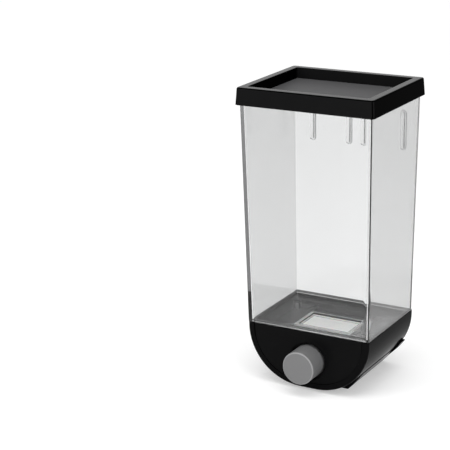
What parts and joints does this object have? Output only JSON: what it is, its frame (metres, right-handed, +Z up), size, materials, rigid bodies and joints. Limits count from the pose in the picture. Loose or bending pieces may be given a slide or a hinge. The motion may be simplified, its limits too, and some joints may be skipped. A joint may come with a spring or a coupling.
{
  "type": "dry food dispenser",
  "caption": "Clear hopper bin on a round-bottomed base; a sprung front button slides a gate back so dry food drops from a chute below. The sunk-top lid lifts off.",
  "frame": {"origin": "centre of the footprint's bounding box, on the plane the foot stands on", "axes": "+Z up, the button faces -Y, +X to the right seen from the front"},
  "size_m": [0.1074, 0.0984, 0.2218],
  "materials": {
    "black_gloss": "polished black ABS",
    "black_matte": "as moulded black ABS",
    "lid_panel_grey": "fine matt grain",
    "clear": "clear moulded polystyrene",
    "silicone": "soft translucent silicone",
    "milky": "natural polypropylene",
    "button_grey": "satin grey ABS",
    "steel": "zinc plated"
  },
  "bodies": {
    "body": {"bin": "clear", "gate_seal": "silicone", "base_shell": "black_gloss", "front_cover": "black_gloss", "gate_housing": "black_matte", "housing_screws": "steel", "return_spring": "steel"},
    "push_gate": {"button": "button_grey", "push_bracket": "milky", "bracket_screws": "steel", "gate_slide": "milky"},
    "lid": {"lid_frame": "black_gloss", "lid_panel": "lid_panel_grey", "lid_seal": "silicone"}
  },
  "joints": [
    {"name": "button_press", "type": "slide", "parent": "body", "child": "push_gate", "axis": [0, 1, 0], "range_m": [0, 0.012], "stiffness_N_per_m": 200, "springref_m": -0.008, "deforming": ["return_spring"]},
    {"name": "lid_lift", "type": "slide", "parent": "body", "child": "lid", "axis": [0, 0, 1], "range_m": [0, 0.06]}
  ]
}
